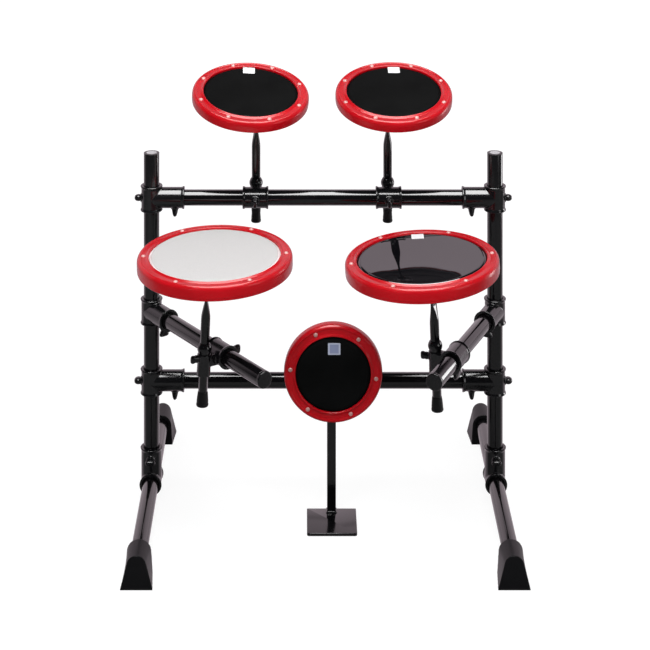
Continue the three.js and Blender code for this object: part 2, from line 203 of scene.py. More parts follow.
def lathe(profile, sides=64, closed=False):
    """The skin swept by (radius, z) points about Z; closed joins the last point to the first."""
    shape = bmesh.new()
    rings = []
    for r, z in profile:
        count = sides if r > 1e-6 else 1
        angles = [2 * math.pi * i / sides for i in range(count)]
        points = [Vector((r * math.cos(a), r * math.sin(a), z)) for a in angles]
        rings.append([shape.verts.new(point * MM) for point in points])
    pairs = list(zip(rings, rings[1:]))
    if closed:
        pairs.append((rings[-1], rings[0]))
    for low, high in pairs:
        for i in range(sides):
            k = (i + 1) % sides
            if len(low) == 1:
                shape.faces.new((low[0], high[k], high[i]))
            elif len(high) == 1:
                shape.faces.new((low[i], low[k], high[0]))
            else:
                shape.faces.new((low[i], low[k], high[k], high[i]))
    bmesh.ops.recalc_face_normals(shape, faces=shape.faces)
    return shape


def cylinder(radius, low, high, sides=48, edge=0.0):
    corners = [(0, low, 0), (radius, low, edge), (radius, high, edge), (0, high, 0)]
    return lathe(rounded(corners), sides)


def ring(radius, bore, low, high, edge=0.6, sides=64):
    corners = [(bore, low, edge), (radius, low, edge), (radius, high, edge), (bore, high, edge)]
    return lathe(rounded(corners), sides, closed=True)


def soften_edges(shape, width, angle=30):
    sharp = [e for e in shape.edges if e.is_manifold and e.calc_face_angle() > math.radians(angle)]
    bmesh.ops.bevel(
        shape, geom=sharp, offset=width * MM, segments=3, profile=0.5, affect="EDGES", clamp_overlap=True
    )
    return shape


def plate(outline, thickness, edge=0.6):
    """A flat part with that outline, centred on z = 0, its edges eased."""
    shape = bmesh.new()
    low = [shape.verts.new(Vector((x, y, -thickness / 2)) * MM) for x, y in outline]
    high = [shape.verts.new(Vector((x, y, thickness / 2)) * MM) for x, y in outline]
    shape.faces.new(low[::-1])
    shape.faces.new(high)
    for i in range(len(outline)):
        k = (i + 1) % len(outline)
        shape.faces.new((low[i], low[k], high[k], high[i]))
    bmesh.ops.recalc_face_normals(shape, faces=shape.faces)
    return soften_edges(shape, edge) if edge else shape


def block(size, middle, edge=0.6):
    x, y, z = (half / 2 for half in size)
    shape = plate([(-x, -y), (x, -y), (x, y), (-x, y)], 2 * z, edge)
    shape.transform(shift(*middle))
    return shape


def skin(rings):
    """A closed skin over rings of (x, y, z) points that all have the same count."""
    shape = bmesh.new()
    rows = [[shape.verts.new(Vector(point) * MM) for point in points] for points in rings]
    for low, high in zip(rows, rows[1:]):
        for i in range(len(low)):
            k = (i + 1) % len(low)
            shape.faces.new((low[i], low[k], high[k], high[i]))
    shape.faces.new(rows[0][::-1])
    shape.faces.new(rows[-1])
    bmesh.ops.recalc_face_normals(shape, faces=shape.faces)
    return shape


def oval(z, rx, ry, power=2.0, sides=48):
    """A level ring; power 2 is an ellipse and more is squarer."""
    points = []
    for i in range(sides):
        c, s = math.cos(2 * math.pi * i / sides), math.sin(2 * math.pi * i / sides)
        x = rx * math.copysign(abs(c) ** (2 / power), c)
        y = ry * math.copysign(abs(s) ** (2 / power), s)
        points.append((x, y, z))
    return points


def loft(sections):
    """A skin over a stack of ovals."""
    return skin([oval(*section) for section in sections])


def moved(shape, matrix):
    shape.transform(matrix)
    return shape


def merged(*shapes):
    """One shape that holds the skins of all of them."""
    total = bmesh.new()
    for shape in shapes:
        part = bpy.data.meshes.new("part")
        shape.to_mesh(part)
        shape.free()
        total.from_mesh(part)
        bpy.data.meshes.remove(part)
    return total


def finished(name, shape, finish, sharp=38):
    """A mesh with that material, smooth except over its sharp edges."""
    mesh = bpy.data.meshes.new(name)
    shape.to_mesh(mesh)
    shape.free()
    mesh.materials.append(finish)
    mesh.shade_smooth()
    mesh.set_sharp_from_angle(angle=math.radians(sharp))
    return mesh


def moulding(name, solids, cuts, finish, grid=1.0, passes=4):
    """One casting: the solids joined, the cuts taken out of it, then its corners softened."""
    workpieces = []

    def workpiece(shape):
        mesh = bpy.data.meshes.new("work")
        shape.to_mesh(mesh)
        shape.free()
        item = bpy.data.objects.new("work", mesh)
        bpy.context.scene.collection.objects.link(item)
        workpieces.append(item)
        return item

    base = workpiece(solids[0])
    for operation, shapes in (("UNION", solids[1:]), ("DIFFERENCE", cuts)):
        for shape in shapes:
            step = base.modifiers.new(operation, "BOOLEAN")
            step.object = workpiece(shape)
            step.operation = operation
            step.solver = "EXACT"
    remesh = base.modifiers.new("remesh", "REMESH")
    remesh.mode = "VOXEL"
    remesh.voxel_size = grid * MM
    soft = base.modifiers.new("soften", "SMOOTH")
    soft.factor = 0.5
    soft.iterations = passes
    shown = base.evaluated_get(bpy.context.evaluated_depsgraph_get())
    mesh = bpy.data.meshes.new_from_object(shown)
    mesh.name = name
    for item in workpieces:
        bpy.data.objects.remove(item)
    mesh.materials.clear()
    mesh.materials.append(finish)
    mesh.shade_smooth()
    return mesh


# ---- placing pieces ----


def add(name, mesh, matrix, body, slot):
    """A shown piece that rides on a CAD body."""
    piece = bpy.data.objects.new(name, mesh)
    bpy.context.scene.collection.objects.link(piece)
    piece.matrix_world = matrix
    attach(piece, body)
    return piece


def stand_for(node, mesh, matrix):
    """A shown piece in place of one CAD node."""
    piece = add(f"{node}_vis", mesh, matrix, body_of[node], slot_of[node])
    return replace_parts(piece, node)


# ---- materials ----


class Nodes:
    """Short ways to wire a node tree."""

    def __init__(self, tree):
        self.tree = tree

    def new(self, kind, **settings):
        node = self.tree.nodes.new(kind)
        for name, value in settings.items():
            setattr(node, name, value)
        return node

    def link(self, source, target):
        self.tree.links.new(source, target)

    def feed(self, socket, value):
        """Gives a socket a number, a colour or another node's output."""
        if isinstance(value, tuple):
            socket.default_value = (*value, 1)
        elif isinstance(value, (int, float)):
            socket.default_value = value
        else:
            self.link(value, socket)

    def remap(self, source, low, high, start=0.0, end=1.0):
        """source from low..high brought to start..end."""
        node = self.new("ShaderNodeMapRange")
        for name, value in (("From Min", low), ("From Max", high), ("To Min", start), ("To Max", end)):
            node.inputs[name].default_value = value
        self.link(source, node.inputs["Value"])
        return node.outputs["Result"]

    def math(self, operation, a, b):
        node = self.new("ShaderNodeMath", operation=operation)
        self.feed(node.inputs[0], a)
        self.feed(node.inputs[1], b)
        return node.outputs["Value"]

    def product(self, *values):
        total = values[0]
        for value in values[1:]:
            total = self.math("MULTIPLY", total, value)
        return total

    def mix(self, factor, first, second):
        """A colour between first and second."""
        node = self.new("ShaderNodeMix", data_type="RGBA")
        self.link(factor, node.inputs["Factor"])
        self.feed(node.inputs[6], first)
        self.feed(node.inputs[7], second)
        return node.outputs[2]

    def split(self, vector):
        node = self.new("ShaderNodeSeparateXYZ")
        self.link(vector, node.inputs[0])
        return node.outputs

    def light_path(self, kind):
        return self.new("ShaderNodeLightPath").outputs[kind]


class Finish(Nodes):
    """A material on the standard surface shader."""

    def __init__(self, name):
        self.material = bpy.data.materials.new(name)
        self.material.use_nodes = True
        super().__init__(self.material.node_tree)
        self.surface = self.tree.nodes["Principled BSDF"]
        self.place = self.new("ShaderNodeTexCoord").outputs["Object"]

    def noise(self, scale, detail=3.0, stretch=(1, 1, 1)):
        """Noise with that many cells per metre."""
        mapping = self.new("ShaderNodeMapping")
        mapping.inputs["Scale"].default_value = stretch
        self.link(self.place, mapping.inputs["Vector"])
        texture = self.new("ShaderNodeTexNoise")
        texture.inputs["Scale"].default_value = scale
        texture.inputs["Detail"].default_value = detail
        self.link(mapping.outputs["Vector"], texture.inputs["Vector"])
        return texture.outputs["Fac"]

    def bump(self, height, strength, distance=0.1):
        node = self.new("ShaderNodeBump")
        node.inputs["Strength"].default_value = strength
        node.inputs["Distance"].default_value = distance * MM
        self.link(height, node.inputs["Height"])
        self.link(node.outputs["Normal"], self.surface.inputs["Normal"])

    def radius(self):
        """Distance from the piece's own Z axis, in metres."""
        x, y, _ = self.split(self.place)
        squares = self.math("ADD", self.math("MULTIPLY", x, x), self.math("MULTIPLY", y, y))
        return self.math("SQRT", squares, 0)

    def lean(self, across, towards, dish):
        """Leans the shading normal across the room and towards -Y, more so at the piece's far edge."""
        turned = self.new("ShaderNodeVectorTransform", vector_type="VECTOR")
        turned.convert_from, turned.convert_to = "OBJECT", "WORLD"
        self.link(self.place, turned.inputs[0])
        _, away, _ = self.split(turned.outputs[0])
        amount = self.new("ShaderNodeCombineXYZ")
        self.feed(amount.inputs["X"], across)
        self.feed(amount.inputs["Y"], self.math("SUBTRACT", -towards, self.math("MULTIPLY", away, dish)))
        add = self.new("ShaderNodeVectorMath", operation="ADD")
        self.link(amount.outputs[0], add.inputs[1])
        self.link(self.new("ShaderNodeNewGeometry").outputs["Normal"], add.inputs[0])
        unit = self.new("ShaderNodeVectorMath", operation="NORMALIZE")
        self.link(add.outputs["Vector"], unit.inputs[0])
        self.link(unit.outputs["Vector"], self.surface.inputs["Normal"])


def coated(name, dark, light, roughness, grain, relief, coat=0.0, ior=1.5, metallic=0.0):
    """A finish whose tone and gloss drift over the surface and whose grain gives a fine relief."""
    n = Finish(name)
    drift = n.noise(14)
    n.link(n.mix(n.remap(drift, 0.3, 0.7), dark, light), n.surface.inputs["Base Color"])
    n.link(n.remap(drift, 0.3, 0.7, *roughness), n.surface.inputs["Roughness"])
    n.bump(n.noise(grain), relief)
    n.surface.inputs["Coat Weight"].default_value = coat
    n.surface.inputs["Coat Roughness"].default_value = 0.04
    n.surface.inputs["IOR"].default_value = ior
    n.surface.inputs["Metallic"].default_value = metallic
    return n


def enamel():
    """Gloss black stove enamel with a slight orange peel and fine rub marks along the tube."""
    dark, light = (0.002, 0.002, 0.0024), (0.004, 0.0036, 0.0044)
    n = coated("enamel", dark, light, (0.10, 0.15), 500, 0.03, coat=0.3)
    rubs = n.remap(n.noise(900, 2, (1, 1, 0.03)), 0.64, 0.74, 0, 0.05)
    gloss = n.remap(n.noise(14), 0.3, 0.7, 0.10, 0.15)
    n.link(n.math("ADD", gloss, rubs), n.surface.inputs["Roughness"])
    return n.material


def hoop_plastic():
    """Deep red moulded plastic with faint flow marks."""
    n = coated("hoop", (0.43, 0.002, 0.006), (0.51, 0.003, 0.009), (0.2, 0.27), 300, 0.02, ior=1.36)
    n.surface.inputs["Subsurface Weight"].default_value = 0.05
    n.surface.inputs["Subsurface Radius"].default_value = (0.004, 0.001, 0.001)
    return n.material


def dark_film():
    """Matte black drum head with a fine tooth and faint stick marks towards the middle."""
    dark, light = (0.004, 0.0042, 0.0042), (0.006, 0.0062, 0.0062)
    n = coated("dark_head", dark, light, (0.46, 0.58), 2600, 0.35, ior=1.05)
    near = n.remap(n.radius(), 0.0, 0.07, 1, 0)
    marks = n.remap(n.noise(90, 6, (1, 0.12, 1)), 0.56, 0.72, 0, 0.22)
    gloss = n.remap(n.noise(14), 0.3, 0.7, 0.46, 0.58)
    n.link(n.math("SUBTRACT", gloss, n.math("MULTIPLY", near, marks)), n.surface.inputs["Roughness"])
    return n.material


def coated_film(edge):
    """Pale coated drum head: a speckled spray stops short of the clear edge at that radius."""
    n = coated("coated_head", (0.47, 0.46, 0.455), (0.5, 0.49, 0.485), (0.66, 0.8), 1900, 0.4)
    speckle = n.mix(n.remap(n.noise(1500, 2), 0.35, 0.65), (0.44, 0.43, 0.425), (0.53, 0.52, 0.515))
    rim = n.remap(n.radius(), edge - 0.0045, edge - 0.0035)
    n.link(n.mix(rim, speckle, (0.85, 0.85, 0.85)), n.surface.inputs["Base Color"])
    return n.material


def mirror_film():
    """Gloss black film that mirrors what stands behind it, with a little dust."""
    dark, light = (0.003, 0.003, 0.004), (0.005, 0.005, 0.006)
    n = coated("mirror_head", dark, light, (0.015, 0.03), 60, 0.01, ior=1.85)
    dust = n.remap(n.noise(2300, 2), 0.68, 0.76, 0, 0.25)
    gloss = n.remap(n.noise(14), 0.3, 0.7, 0.015, 0.03)
    n.link(n.math("ADD", gloss, dust), n.surface.inputs["Roughness"])
    n.lean(-0.028, 0.117, 0.31)
    return n.material


def paper(name, edge, field):
    """A sticker with an edge colour round a blank inner field."""
    n = coated(name, (0.80, 0.80, 0.80), (0.86, 0.86, 0.86), (0.35, 0.5), 900, 0.1)
    x, y, _ = n.split(n.place)
    out = n.math("MAXIMUM", n.math("ABSOLUTE", x, 0), n.math("ABSOLUTE", y, 0))
    inside = (LABEL_SIZE[0] / 2 - LABEL_BORDER) * MM
    border = n.remap(out, inside - 0.3 * MM, inside)
    n.link(n.mix(border, field, edge), n.surface.inputs["Base Color"])
    return n.material


def plug_painted_highlight():
    """A black end plug with a pale disc painted on its top as a highlight inside the black rim."""
    n = coated("plug", (0.25, 0.25, 0.26), (0.32, 0.32, 0.33), (0.25, 0.35), 900, 0.1)
    # The pale grey disc inside the rim is a painted highlight; the plug itself is black.
    rim = n.remap(n.radius(), 10.2 * MM, 11 * MM)
    n.link(n.mix(rim, (0.42, 0.42, 0.43), (0.004, 0.004, 0.004)), n.surface.inputs["Base Color"])
    return n.material


def screw_with_painted_reflection():
    """Plated steel with a pink tint painted in as a reflection of the red hoop round it."""
    # The reddish colours are a painted reflection of the red hoop, not the steel's own colour.
    dark, light = (0.50, 0.25, 0.24), (0.60, 0.33, 0.31)
    return coated("steel", dark, light, (0.45, 0.55), 2500, 0.1, metallic=0.15).material


def make_finishes(snare_edge):
    black, grey = (0.003, 0.003, 0.0035), (0.006, 0.006, 0.007)
    return {
        "enamel": enamel(),
        "moulding": coated("moulding", black, grey, (0.14, 0.2), 1600, 0.05, ior=1.6).material,
        "knob": coated("knob", black, grey, (0.22, 0.32), 1300, 0.1).material,
        "base": coated("base", black, grey, (0.48, 0.62), 1500, 0.3).material,
        "rubber": coated("rubber", black, grey, (0.5, 0.65), 1100, 0.3, ior=1.4).material,
        "boot": coated("boot", black, grey, (0.34, 0.44), 1100, 0.12, ior=1.27).material,
        "plug": plug_painted_highlight(),
        "hoop": hoop_plastic(),
        "dark_head": dark_film(),
        "coated_head": coated_film(snare_edge),
        "mirror_head": mirror_film(),
        "steel": screw_with_painted_reflection(),
        "label": paper("label", (0.84, 0.84, 0.84), (0.82, 0.82, 0.83)),
        "printed_label": paper("printed_label", (0.50, 0.54, 0.66), (0.26, 0.30, 0.46)),
    }


# ---- rack ----


def sleeve_corners(low, high, rim_low, rim_high):
    """The outside of a moulded sleeve, from its low end to its high end, with flared rims."""
    def rim(z, inward):
        return [(RIM_R, z, 0.6), (RIM_R, z + inward * 2.4, 0.8), (CLAMP_R, z + inward * 5.5, 1.2)]

    start = rim(low, 1) if rim_low else [(CLAMP_R, low, 0)]
    end = rim(high, -1)[::-1] if rim_high else [(CLAMP_R, high, 0)]
    return [(0, low, 0), *start, *end, (0, high, 0)]


def sleeve(low, high, rim_low=True, rim_high=True):
    return lathe(rounded(sleeve_corners(low, high, rim_low, rim_high)))


def tee_clamp_mesh():
    """A collar along Z with a stem to +X and bosses for its two bolts."""
    stem = moved(sleeve(0, STEM_REACH, rim_low=False), turn(90, "Y"))
    under = moved(cylinder(BOSS_R, BOSS_ROOT, STEM_BOSS, 40, 0.8), shift(BOLT_REACH) @ turn(180, "X"))
    behind = moved(cylinder(BOSS_R, BOSS_ROOT, BACK_BOSS, 40, 0.8), turn(-90, "Y"))
    bore = cylinder(CLAMP_BORE_R, -COLLAR_HALF - 2, COLLAR_HALF + 2, 64)
    socket = moved(cylinder(CLAMP_BORE_R, CLAMP_BORE_R + 5.3, STEM_REACH + 2, 64), turn(90, "Y"))
    solids = [sleeve(-COLLAR_HALF, COLLAR_HALF), stem, under, behind]
    return moulding("tee_clamp", solids, [bore, socket], finishes["moulding"], grid=0.9)


def wing_bolt_mesh(reach, span):
    """A bolt on Z whose grip starts round and thins into two lobes along Y."""
    half = span / 2
    grip = loft([
        (0, 6.6, 6.6), (reach * 0.2, 6.4, 7.2, 2.1), (reach * 0.42, 5.7, half * 0.86, 2.4),
        (reach * 0.68, 4.8, half, 2.6), (reach * 0.86, 4.0, half * 0.95, 2.6),
        (reach * 0.96, 2.9, half * 0.82, 2.4), (reach, 1.5, half * 0.6, 2.2),
    ])
    return finished("wing_bolt", merged(grip, cylinder(3, -5, 1, 32)), finishes["knob"])


def knob_bolt_mesh(reach, span):
    """A bolt on Z with a thick oval knob that is longest along Y."""
    half = span / 2
    grip = loft([
        (0, 6.2, half * 0.86), (reach * 0.1, 6.4, half * 0.96, 2.3), (reach * 0.35, 6.6, half, 2.5),
        (reach * 0.68, 6.0, half * 0.92, 2.3), (reach * 0.9, 4.4, half * 0.66, 2.1),
        (reach, 2.2, half * 0.36),
    ])
    return finished("knob_bolt", merged(grip, cylinder(3, -5, 1, 32)), finishes["knob"])


def tube_mesh(length):
    shape = ring(TUBE_R, TUBE_R - TUBE_WALL, -length / 2, length / 2, 0.5, 80)
    return finished("tube", shape, finishes["enamel"])


def plug_mesh(stand, edge, finish):
    """A tube end plug: a rim that covers the tube's end and a plug inside it."""
    corners = [
        (0, -12, 0), (13.4, -12, 1), (13.7, 0, 0), (TUBE_R + 0.1, 0, 0.2), (TUBE_R + 0.3, stand, edge),
        (TUBE_R - 4, stand + 0.5, 2), (0, stand + 0.7, 0),
    ]
    return finished("tube_plug", lathe(rounded(corners)), finish)


def boot_outline(foot, dome, y, steps=20):
    """A boot seen along the leg: flat on the floor, straight sides that meet a round dome."""
    middle = BOOT_HEIGHT - dome
    start = math.acos(dome / math.hypot(foot, middle)) - math.atan2(middle, foot)
    angles = [start + (math.pi - 2 * start) * i / steps for i in range(steps + 1)]
    arc = [(dome * math.cos(a), y, middle + dome * math.sin(a)) for a in angles]
    return [(-foot, y, 0), (foot, y, 0), *arc]


def boot_mesh():
    """A rubber foot with a blind socket for the tube, opening to +Y."""
    end, mouth = Vector(BOOT_END), Vector(BOOT_MOUTH)
    body = skin([boot_outline(*end.lerp(mouth, i / 8), BOOT_DEPTH * i / 8) for i in range(9)])
    socket = cylinder(CLAMP_BORE_R, BOOT_WALL, BOOT_DEPTH + 4, 64)
    moved(socket, shift(0, 0, leg_height) @ turn(-90, "X"))
    return moulding("boot", [body], [socket], finishes["boot"], grid=1.0, passes=3)


def tube_frame(node):
    """The middle of a tube node, its Z along the tube."""
    low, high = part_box(node)
    size = high - low
    if node.startswith("arm_tube"):
        direction = joint_axis(arm_slides[node.removeprefix("arm_tube_")])
    else:
        direction = max((X, Y, Z), key=lambda axis: size.dot(axis))
    return axes_at(centre(node), Z if abs(direction.z) < 0.5 else X, direction)


def tube_length(node):
    low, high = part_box(node)
    size = high - low
    if node.startswith("arm_tube"):
        along = joint_axis(arm_slides[node.removeprefix("arm_tube_")])
        across = 2 * TUBE_R * MM
        return (size.x - across * abs(along.y)) / abs(along.x) / MM
    return max(size) / MM


def build_tubes():
    for node in slot_of:
        if "tube" in node or "upright" in node or node in ("top_bar", "lower_bar"):
            stand_for(node, tube_mesh(tube_length(node)), tube_frame(node))


def clamp_frames():
    """Each T-clamp node with a frame on its collar's centre: Z along the collar, X along the stem."""
    frames = {}
    for name, side in SIDES.items():
        upright = centre(f"upright_{name}")
        inward = X * -side
        for bar in ("top", "lower"):
            place = Vector((upright.x, upright.y, centre(f"{bar}_bar").z))
            frames[f"clamp_{bar}_{name}"] = axes_at(place, inward, Z)
        along_arm = joint_axis(arm_slides[name])
        frames[f"clamp_arm_{name}"] = axes_at(joint_place(f"arm_swing_{name}"), along_arm, Z)
        frames[f"clamp_leg_{name}"] = axes_at(joint_place(f"leg_fold_{name}"), Z, Y)
    return frames


def build_clamps():
    clamp = tee_clamp_mesh()
    stem_bolt = wing_bolt_mesh(14, 21)
    low_knob = knob_bolt_mesh(12.5, 20.5)
    top_knob = knob_bolt_mesh(12, 17)
    for node, place in clamp_frames().items():
        stand_for(node, clamp, place)
        under = place @ shift(BOLT_REACH, 0, -STEM_BOSS) @ turn(180, "X")
        add(f"stem_bolt_{node}", stem_bolt, under, body_of[node], "knob")
        outer = place @ shift(-BACK_BOSS - 0.1) @ turn(-90, "Y") @ turn(180, "Z")
        if node.startswith("clamp_top"):
            stand_for(node.replace("clamp_top", "wing_screw_top"), top_knob, outer)
        elif node.startswith("clamp_lower"):
            add(f"collar_bolt_{node}", low_knob, outer, body_of[node], "knob")


def build_plugs():
    # The upright plugs use the plug finish, whose pale top disc is a painted highlight.
    low_plug = plug_mesh(0.8, 0.3, finishes["plug"])
    deep_plug = plug_mesh(7, 2, finishes["knob"])
    for name in SIDES:
        place = centre(f"upright_{name}")
        place.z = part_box(f"upright_{name}")[1].z
        add(f"upright_plug_{name}", low_plug, axes_at(place, X, Z), "frame", "moulding")
        tube = f"arm_tube_{name}"
        end = tube_frame(tube) @ shift(0, 0, tube_length(tube) / 2)
        add(f"arm_plug_{name}", deep_plug, end, f"arm_{name}", "moulding")


def build_boots():
    boot = boot_mesh()
    for name in SIDES:
        for end, turned_by in (("front", 0), ("rear", 180)):
            node = f"foot_{end}_{name}"
            low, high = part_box(node)
            outer = low.y if end == "front" else high.y
            place = Matrix.Translation((centre(node).x, outer, 0)) @ turn(turned_by, "Z")
            stand_for(node, boot, place)


# ---- rods ----


def lock_place(name):
    """Turns and shifts a clamp's own axes so that +Y points out through its lock bolt."""
    if name == "floor":
        return shift(-10) @ turn(-90, "X")
    return Matrix()


def rod_clamp_mesh(name):
    """A sleeve on X that carries an upright sleeve for the rod, and bosses for both bolts."""
    main = moved(sleeve(-ROD_CLAMP_HALF, ROD_CLAMP_HALF), turn(90, "Y"))
    holder_corners = [
        (0, ROD_SLEEVE_LOW, 0), (ROD_SLEEVE_R, ROD_SLEEVE_LOW, 1), (ROD_SLEEVE_R - 0.6, -8, 0),
        (ROD_SLEEVE_R, ROD_SLEEVE_HIGH, 1), (0, ROD_SLEEVE_HIGH, 0),
    ]
    holder = moved(lathe(rounded(holder_corners)), shift(0, -ROD_OFFSET))
    web = block((24, 30, 22), (0, -26, -5), 2)
    lock = cylinder(8, BOSS_ROOT, LOCK_BOSS, 40, 0.8)
    moved(lock, lock_place(name) @ turn(-90, "X"))
    pinch = cylinder(6.5, 8, ROD_SLEEVE_R + 2, 40, 0.8)
    moved(pinch, shift(0, -ROD_OFFSET, ROD_LOCK_LEVEL[name]) @ turn(90, "X"))
    main_bore = moved(cylinder(CLAMP_BORE_R, -40, 40, 64), turn(90, "Y"))
    rod_bore = moved(cylinder(ROD_R + 0.3, -40, 20, 48), shift(0, -ROD_OFFSET))
    solids = [main, holder, web, lock, pinch]
    cuts = [main_bore, rod_bore]
    return moulding(f"rod_clamp_{name}", solids, cuts, finishes["moulding"], grid=0.9)


def rod_mesh(height, drop):
    """The round rod flattens into a blade that carries the pivot at z = height."""
    blade_low = height - BLADE_LENGTH
    shoulder = blade_low - TAPER_LENGTH
    thin = 2.3
    sections = [
        (-drop + 1, ROD_R - 0.6, ROD_R - 0.6, 2), (-drop + 2, ROD_R, ROD_R, 2),
        (shoulder, ROD_R, ROD_R, 2), (shoulder + 6, 8.7, 9.1, 2), (shoulder + 14, 7.5, 9.5, 2.1),
        (shoulder + 24, 5.4, 10.1, 2.4), (shoulder + 32, 3.5, 10.6, 3),
        (blade_low, thin, BLADE_HALF, 4.5), (height - 3, thin, BLADE_HALF, 5),
        (height + 2, thin, BLADE_HALF * 0.92, 5), (height + 5.5, thin, BLADE_HALF * 0.7, 5),
        (height + 7.6, thin * 0.95, BLADE_HALF * 0.45, 4),
        (height + 8.5, thin * 0.7, BLADE_HALF * 0.25, 4),
    ]
    return finished("rod", loft(sections), finishes["enamel"], 50)


def tip_mesh(drop, radius):
    """A rubber tip pushed over the rod's lower end and flared to that radius."""
    low = -drop
    high = low + TIP_LENGTH
    corners = [
        (0, low - 0.4, 0), (radius - 1.2, low - 0.4, 1), (radius, low + 1.6, 1),
        (radius - 0.1, low + 5, 1), (radius - 0.7, low + 5.8, 0.3), (radius - 0.5, low + 9, 1),
        (radius - 1.3, low + 18, 3), (ROD_R + 0.7, high - 1.5, 0.5), (ROD_R + 0.1, high, 0),
        (ROD_R - 0.1, high - 3, 0), (0, high - 3, 0),
    ]
    return finished("rod_tip", lathe(rounded(corners)), finishes["rubber"])


def collar_mesh():
    """A ball-shaped stop collar round the rod, with a flat foot on the clamp."""
    low = ROD_SLEEVE_HIGH + 0.4
    corners = [
        (ROD_R + 0.2, low, 0.3), (11.8, low, 0.6), (12.0, low + 2.4, 0.8), (COLLAR_R, low + 6, 3.4),
        (COLLAR_R, low + 13, 3.6), (10.0, low + COLLAR_HEIGHT, 2.0),
        (ROD_R + 0.2, low + COLLAR_HEIGHT, 0.3),
    ]
    shape = lathe(rounded(corners, 6), closed=True)
    return finished("rod_collar", shape, finishes["moulding"])


def yoke_mesh():
    """Two ears below a plate, with the four screws that hold the plate to the pad."""
    ear = rounded([
        (-7, 0, 3), (-4.5, -6.5, 3), (4.5, -6.5, 3), (7, 0, 3),
        (9, PIVOT_DROP + 0.5, 0), (-9, PIVOT_DROP + 0.5, 0),
    ])
    offset = EAR_INNER + EAR_THICKNESS / 2
    ears = [
        moved(plate(ear, EAR_THICKNESS, 0.4), shift(side * offset) @ turn(90, "Z") @ turn(90, "X"))
        for side in SIDES.values()
    ]
    screws = [
        moved(cylinder(3.4, -1.4, 0.6, 24, 0.7), shift(x, y, PIVOT_DROP))
        for x in (-17, 17)
        for y in (-9, 9)
    ]
    base = block((44, 28, 2.5), (0, 0, PIVOT_DROP + 1.25), 0.8)
    return finished("yoke", merged(base, *ears, *screws), finishes["enamel"])


def tilt_screw_mesh():
    """A hand screw along X through both ears, its grip on the +X side and a nut on the other."""
    outer = EAR_INNER + EAR_THICKNESS + 0.4
    shank = cylinder(2.7, -outer - 1, outer + 1, 32)
    hub = lathe(rounded([(0, outer, 0), (5, outer, 0.8), (4.4, outer + 8, 1.2), (0, outer + 8, 0)]), 40)
    grip = loft([
        (outer + 3, 3, 3.6, 2.2), (outer + 8, 2.6, 6.4, 2.6),
        (outer + 13, 2.2, 7.5, 2.8), (outer + 15, 1.3, 6.4, 2.4),
    ])
    nut = cylinder(4.8, -outer - 3.2, -outer, 6, 0.5)
    shape = moved(merged(shank, hub, grip, nut), turn(90, "Y"))
    return finished("tilt_screw", shape, finishes["knob"])


def station_frames(name):
    """Frames of one pad's rod clamp, rod and pivot, from the record's joints."""
    foot = joint_place(f"{name}_rod_swivel")
    rod_axis = joint_axis(f"{name}_rod_swivel")
    pivot = joint_place(f"{name}_pad_tilt")
    hinge = joint_axis(f"{name}_pad_tilt")
    along = joint_axis(f"{name}_clamp_slide")
    on_tube = centre("top_bar")
    if name in arm_of:
        on_tube = joint_place(f"arm_swing_{arm_of[name]}")
    on_tube = on_tube + along * along.dot(foot - on_tube)
    across = (on_tube - foot).normalized()
    return {
        "clamp": axes_at(on_tube, across.cross(rod_axis), rod_axis),
        "rod": axes_at(foot, hinge, rod_axis),
        "pivot": axes_at(pivot, hinge, pad_axis(f"head_{name}")),
        "height": (pivot - foot).dot(rod_axis) / MM,
    }


def rod_drop(name, place):
    """How far the rod's lower end lies below its clamp."""
    points = [place.inverted() @ v.co for v in frame["nodes"][f"rod_{name}"].data.vertices]
    return -min(point.z for point in points) / MM


def build_clamp_bolts(name, clamp, bolts):
    """The bolt that locks a rod clamp on its tube and the one that locks the rod in the clamp."""
    below = name == "floor"
    boss = clamp @ lock_place(name) @ shift(0, LOCK_BOSS) @ turn(-90, "X")
    if below:
        boss = boss @ turn(90, "Z")
    add(f"clamp_lock_{name}", bolts["below" if below else "behind"], boss, f"{name}_clamp", "knob")
    front = shift(0, -ROD_OFFSET - ROD_SLEEVE_R - 2, ROD_LOCK_LEVEL[name])
    add(f"rod_lock_{name}", bolts["rod"], clamp @ front @ turn(90, "X"), f"{name}_clamp", "knob")


def build_rods():
    collar, yoke, screw = collar_mesh(), yoke_mesh(), tilt_screw_mesh()
    bolts = {
        "behind": wing_bolt_mesh(21, 18),
        "below": wing_bolt_mesh(19, 32),
        "rod": wing_bolt_mesh(15, 15),
    }
    for name in ROD_LOCK_LEVEL:
        frames = station_frames(name)
        drop = rod_drop(name, frames["rod"])
        stand_for(f"rod_clamp_{name}", rod_clamp_mesh(name), frames["clamp"])
        stand_for(f"rod_collar_{name}", collar, frames["rod"])
        stand_for(f"rod_{name}", rod_mesh(frames["height"], drop), frames["rod"])
        stand_for(f"yoke_{name}", yoke, frames["pivot"])
        stand_for(f"tilt_screw_{name}", screw, frames["pivot"])
        tip = tip_mesh(drop, TIP_FLARE[name])
        add(f"rod_tip_{name}", tip, frames["rod"], f"{name}_rod", "rubber")
        build_clamp_bolts(name, frames["clamp"], bolts)


# ---- pads ----


def pad_axis(node):
    """The outward direction of a disc-shaped node."""
    points = np.array([v.co for v in frame["nodes"][node].data.vertices], float)
    flat = np.linalg.svd(points - points.mean(0), full_matrices=False)[2][-1]
    outward = Vector(flat)
    return outward if outward.z - outward.y > 0 else -outward


def pad_frame(name):
    """A frame on the underside of the pad's base: Z out through the head, X on the tilt axis."""
    out = pad_axis(f"head_{name}")
    across = X if name == "bass" else joint_axis(f"{name}_pad_tilt")
    middle = sum((v.co for v in frame["nodes"][f"head_{name}"].data.vertices), Vector())
    middle /= len(frame["nodes"][f"head_{name}"].data.vertices)
    level = min((v.co - middle).dot(out) for v in frame["nodes"][f"base_{name}"].data.vertices)
    return axes_at(middle + out * level, across, out)


